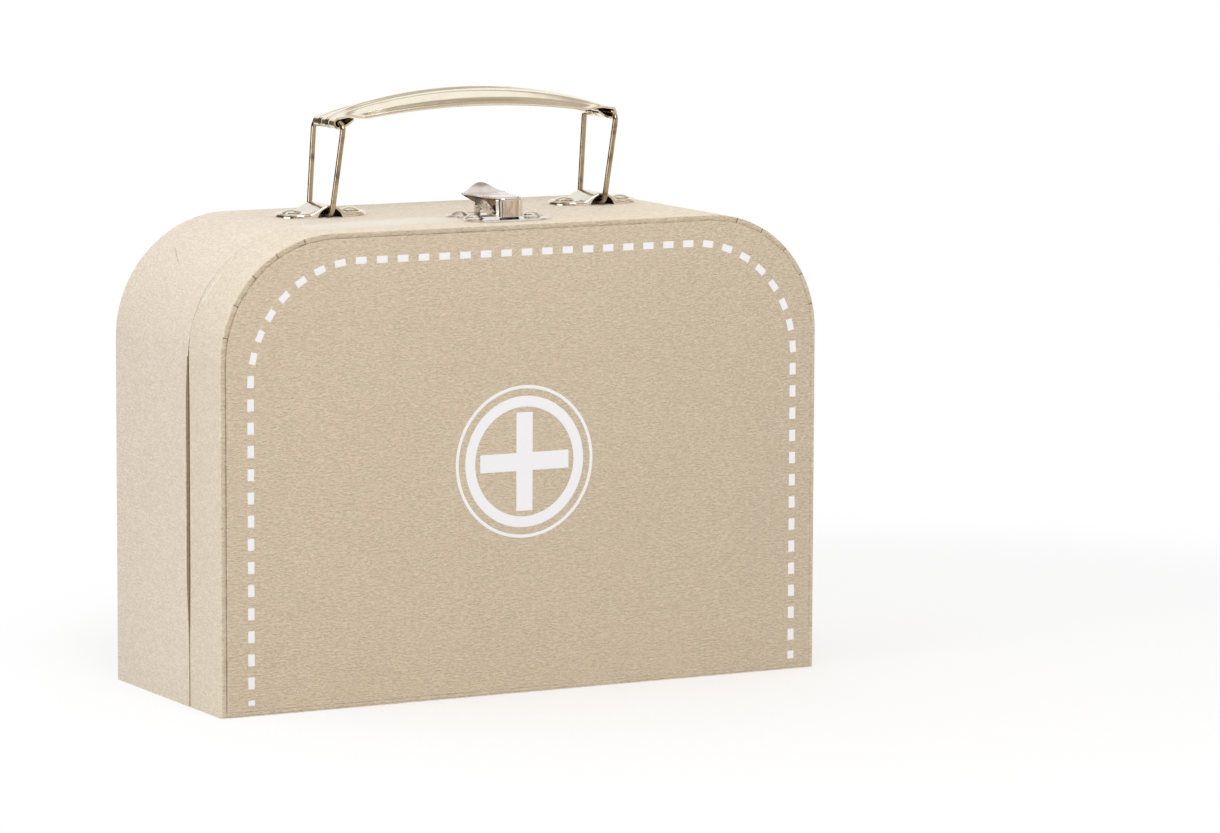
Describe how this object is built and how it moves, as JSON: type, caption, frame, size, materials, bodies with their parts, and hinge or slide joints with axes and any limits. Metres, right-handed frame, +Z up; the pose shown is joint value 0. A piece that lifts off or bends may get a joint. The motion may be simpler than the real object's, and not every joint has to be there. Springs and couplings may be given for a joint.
{
  "type": "toy doctor case",
  "caption": "Small board suitcase with a hinged lid, wire-and-strip carrying handle and a snap hasp.",
  "frame": {"origin": "centre of the bottom, on the surface the case stands on", "axes": "+X along the width, to the viewer's right; +Y from the lid at the front to the back; +Z up"},
  "size_m": [0.25, 0.0961, 0.2243],
  "materials": {
    "covering": "fine-grained beige covering paper",
    "front_print_paper": "fine-grained beige front sheet",
    "ink": "matt white print",
    "board": "raw grey-brown board",
    "lining": "smooth off-white lining paper",
    "nickel": "polished nickel plate",
    "wire": "polished nickel-plated wire",
    "washer": "plain steel"
  },
  "bodies": {
    "base": {"base_wall_board": "board", "base_back_board": "board", "base_covering_paper": "covering", "base_back_sheet": "covering", "base_back_lining": "lining", "base_wall_liner": "lining", "base_rim_left": "board", "base_rim_right": "board", "base_rim_top": "board", "base_hinge_leaf": "covering", "handle_rivets": "nickel", "handle_washers": "washer", "latch_anchor_rivets": "nickel", "latch_anchor_washers": "washer", "handle_plate_left": "nickel", "handle_plate_right": "nickel", "latch_anchor_plate": "nickel", "latch_pin": "nickel"},
    "lid": {"lid_wall_board": "board", "lid_front_board": "board", "lid_covering_paper": "covering", "lid_front_sheet": "front_print_paper", "lid_front_lining": "lining", "lid_wall_lining": "lining", "lid_hinge_leaf": "covering", "lid_print": "ink", "latch_keeper_rivets": "nickel", "latch_keeper_washers": "washer", "latch_keeper_plate": "nickel"},
    "hasp": {"latch_hasp": "nickel"},
    "bail_left": {"handle_bail_left": "wire"},
    "bail_right": {"handle_bail_right": "wire"},
    "grip": {"handle_grip": "nickel"}
  },
  "joints": [
    {"name": "lid_hinge", "type": "hinge", "parent": "base", "child": "lid", "pos_m": [0, -0.019, 0], "axis": [1, 0, 0], "range_deg": [0, 175]},
    {"name": "hasp_rock", "type": "hinge", "parent": "base", "child": "hasp", "pos_m": [0.0015, -0.01655, 0.1816], "axis": [-1, 0, 0], "range_deg": [0, 38]},
    {"name": "bail_left_swing", "type": "hinge", "parent": "base", "child": "bail_left", "pos_m": [-0.055, 0.0145, 0.1786], "axis": [0, 1, 0], "range_deg": [-90, 78]},
    {"name": "bail_right_swing", "type": "hinge", "parent": "base", "child": "bail_right", "pos_m": [0.061, 0.0145, 0.1786], "axis": [0, 1, 0], "range_deg": [-90, 78]},
    {"name": "grip_turn", "type": "hinge", "parent": "bail_left", "child": "grip", "pos_m": [-0.05145, 0.0145, 0.21241], "axis": [0, 1, 0], "range_deg": [-78, 90]}
  ],
  "couplings": [
    {"joint": "bail_right_swing", "follows": "bail_left_swing", "ratio": 1},
    {"joint": "grip_turn", "follows": "bail_left_swing", "ratio": -1}
  ]
}
